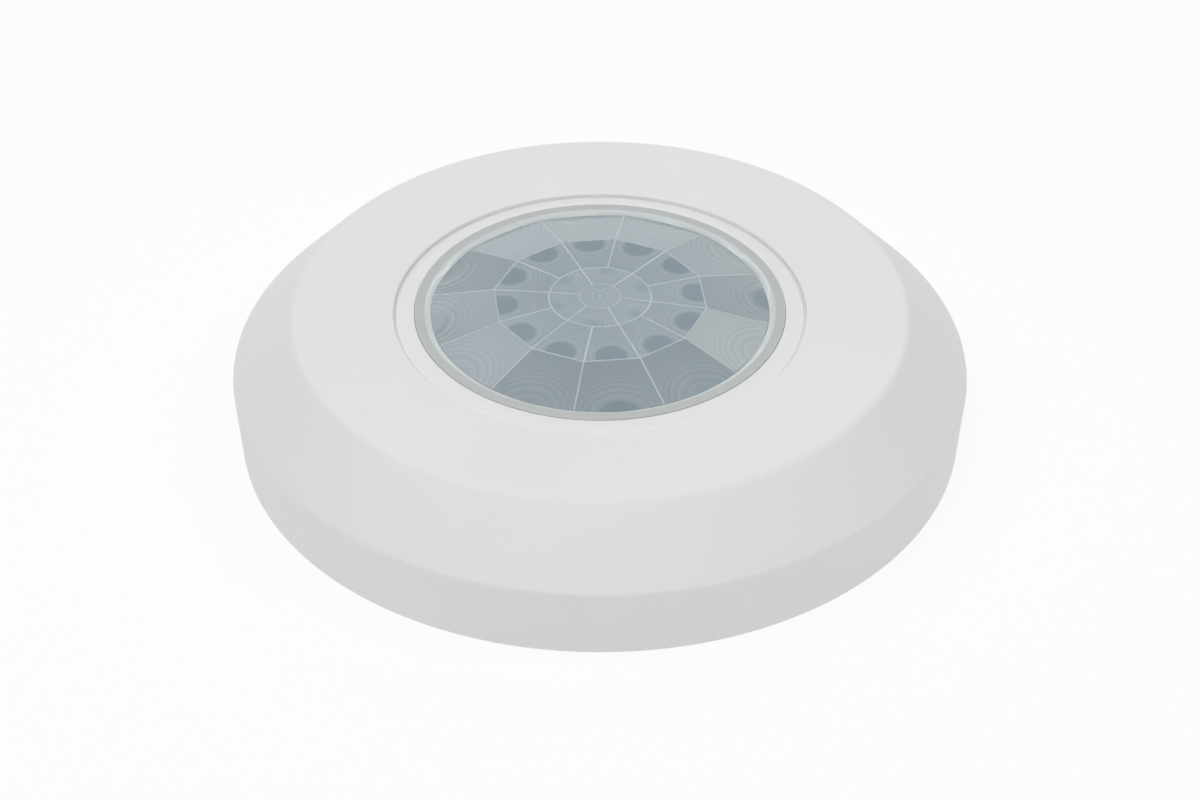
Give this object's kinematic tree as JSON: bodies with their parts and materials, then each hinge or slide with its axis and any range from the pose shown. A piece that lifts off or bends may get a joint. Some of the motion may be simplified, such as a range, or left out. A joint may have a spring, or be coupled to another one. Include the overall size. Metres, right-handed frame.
{
  "type": "ceiling motion sensor",
  "caption": "Low-profile round ceiling motion sensor with a faceted Fresnel lens, pull-off cover and wired circuit board inside.",
  "frame": {"origin": "centre of the ceiling-side face of the housing", "axes": "+Z out through the lens, away from the ceiling; -Y towards the terminals and wire entry; +X completes a right-handed frame"},
  "size_m": [0.089, 0.089, 0.0188],
  "materials": {
    "white_abs": "moulded white ABS, fine spark-eroded grain",
    "lens_polyethylene": "translucent moulded polyethylene",
    "zinc_steel": "zinc-plated steel",
    "black_rubber": "moulded rubber",
    "board_laminate": "glass-epoxy board with blue solder mask",
    "nickel_steel": "nickel-plated drawn can",
    "infrared_filter": "coated silicon window",
    "tinned_metal": "tinned metal",
    "terminal_plastic": "moulded polyamide",
    "black_plastic": "moulded epoxy",
    "white_nylon": "moulded nylon",
    "spring_steel": "drawn spring wire",
    "option_plastic": "moulded polyamide",
    "relay_plastic": "moulded epoxy",
    "capacitor_aluminium": "drawn can on a black foot",
    "resistor_ceramic": "glazed ceramic chip",
    "capacitor_ceramic": "fired ceramic chip",
    "indicator_plastic": "clear red resin"
  },
  "bodies": {
    "base": {"mounting_base": "white_abs", "board_screws": "zinc_steel", "wire_grommet": "black_rubber", "circuit_board": "board_laminate", "detector_can": "nickel_steel", "detector_window": "infrared_filter", "detector_leads": "tinned_metal", "detector_boot": "black_rubber", "terminal_block": "terminal_plastic", "terminal_clamps": "tinned_metal", "terminal_screws": "zinc_steel", "terminal_pins": "tinned_metal", "tamper_switch": "black_plastic", "tamper_spring": "spring_steel", "option_switch": "option_plastic", "microcontroller": "black_plastic", "alarm_relay": "relay_plastic", "voltage_regulator": "black_plastic", "surge_diode": "black_plastic", "aluminium_capacitors": "capacitor_aluminium", "chip_resistors": "resistor_ceramic", "chip_capacitors": "capacitor_ceramic", "alarm_indicator": "indicator_plastic"},
    "cover": {"front_cover": "white_abs", "ring_keeper": "white_abs", "keeper_screws": "zinc_steel"},
    "lens": {"lens_ring": "white_abs", "fresnel_lens": "lens_polyethylene", "lens_clamp": "white_abs"},
    "plunger": {"tamper_plunger": "white_nylon"},
    "option_slider_1": {"option_slider_1": "white_nylon"},
    "option_slider_2": {"option_slider_2": "white_nylon"},
    "option_slider_3": {"option_slider_3": "white_nylon"}
  },
  "joints": [
    {"name": "cover_lift", "type": "slide", "parent": "base", "child": "cover", "axis": [0, 0, 1], "range_m": [0, 0.045]},
    {"name": "lens_turn", "type": "hinge", "parent": "cover", "child": "lens", "pos_m": [0, 0, 0.0145], "axis": [0, 0, 1], "range_deg": [-15, 15]},
    {"name": "tamper_press", "type": "slide", "parent": "base", "child": "plunger", "axis": [0, 0, 1], "range_m": [-0.0008, 0], "stiffness_N_per_m": 300, "deforming": ["tamper_spring"]},
    {"name": "option_slide_1", "type": "slide", "parent": "base", "child": "option_slider_1", "axis": [0, 1, 0], "range_m": [0, 0.0015]},
    {"name": "option_slide_2", "type": "slide", "parent": "base", "child": "option_slider_2", "axis": [0, 1, 0], "range_m": [0, 0.0015]},
    {"name": "option_slide_3", "type": "slide", "parent": "base", "child": "option_slider_3", "axis": [0, 1, 0], "range_m": [0, 0.0015]}
  ]
}
